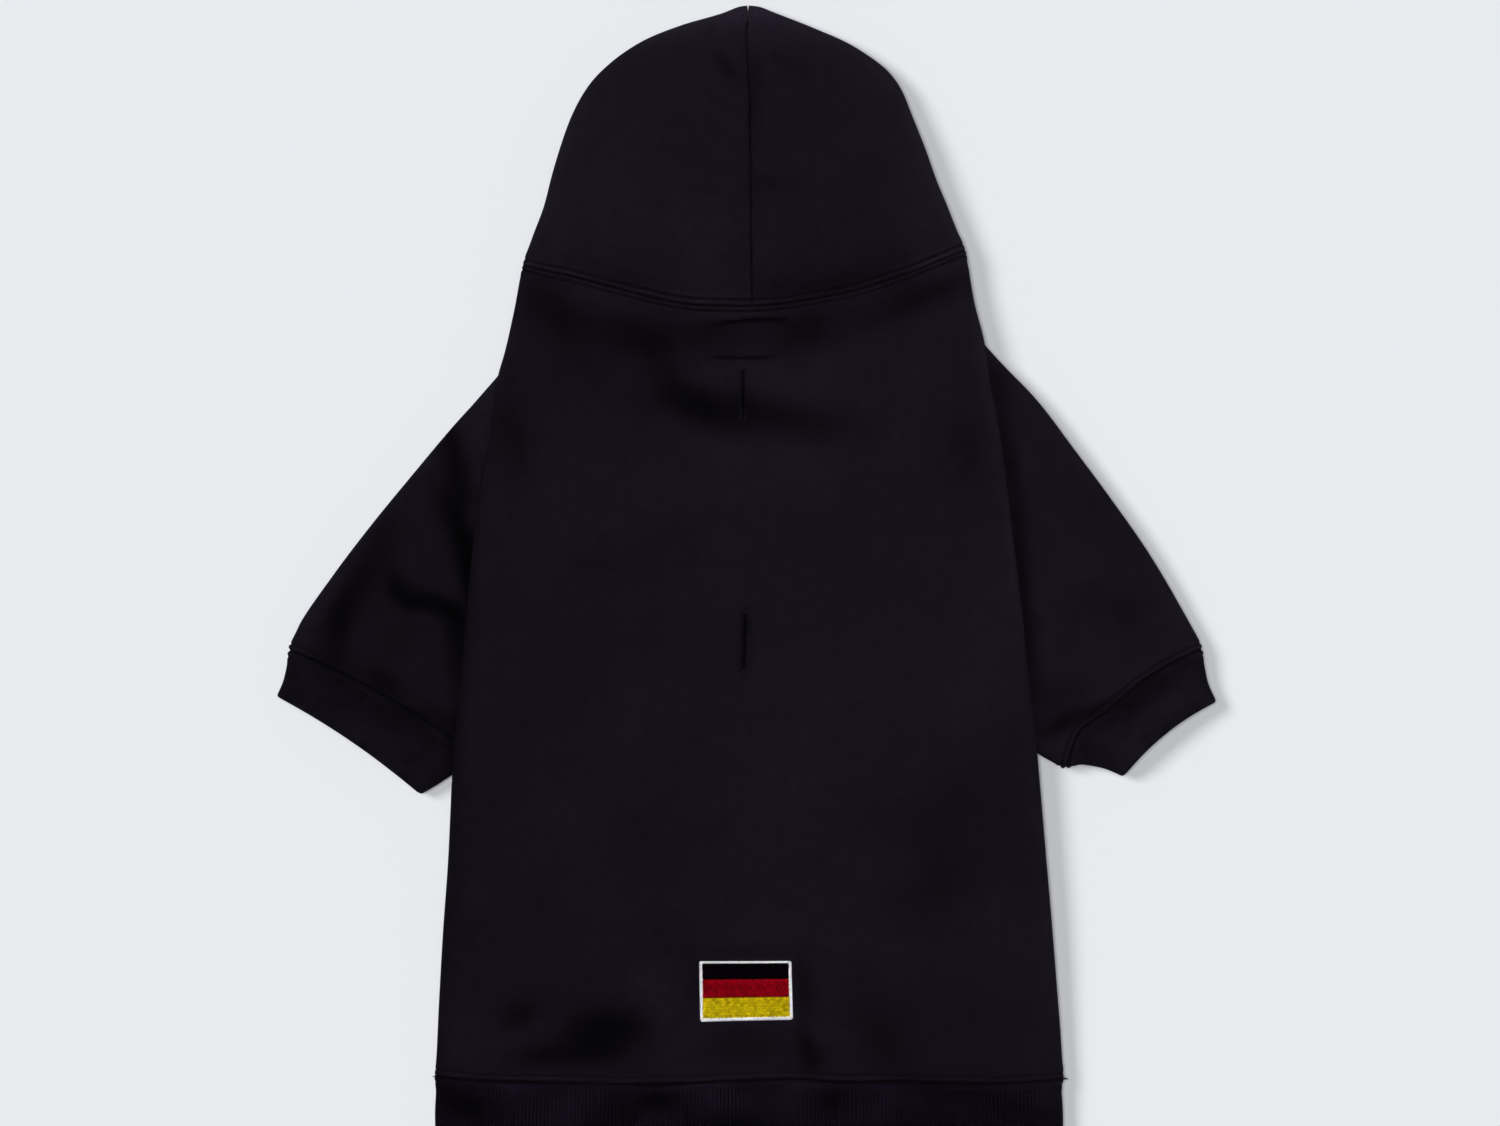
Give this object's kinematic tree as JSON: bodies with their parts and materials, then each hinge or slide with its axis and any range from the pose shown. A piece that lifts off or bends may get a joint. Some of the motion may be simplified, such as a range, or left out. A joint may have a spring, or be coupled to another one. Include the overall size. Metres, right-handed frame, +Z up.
{
  "type": "dog hoodie",
  "caption": "Short-sleeved pullover dog hoodie in heavy fleece, laid flat with its back up, with hood, rib cuffs, rib hem band, leash holes and a striped flag patch.",
  "frame": {"origin": "centre of the laid-out hoodie's footprint, on the surface that it lies on", "axes": "+Z up from the surface, +Y from the hem towards the hood, +X to the right of the laid-out garment seen from above"},
  "size_m": [0.4516, 0.552, 0.0385],
  "materials": {
    "fleece": "heavy brushed fleece, black with a faint violet cast, matt",
    "rib_knit": "black rib knit with fine upright wales, matt",
    "white_thread": "white embroidery thread, overlocked border",
    "black_thread": "black embroidery thread with a soft sheen",
    "red_thread": "red embroidery thread with a soft sheen",
    "gold_thread": "golden yellow embroidery thread with a soft sheen"
  },
  "bodies": {
    "root": {"back_panel": "fleece", "belly_panel": "fleece", "hood_left": "fleece", "hood_right": "fleece", "sleeve_left": "fleece", "sleeve_right": "fleece", "cuff_left": "rib_knit", "cuff_right": "rib_knit", "hem_band": "rib_knit", "patch_border": "white_thread", "patch_stripe_black": "black_thread", "patch_stripe_red": "red_thread", "patch_stripe_gold": "gold_thread"}
  },
  "joints": []
}
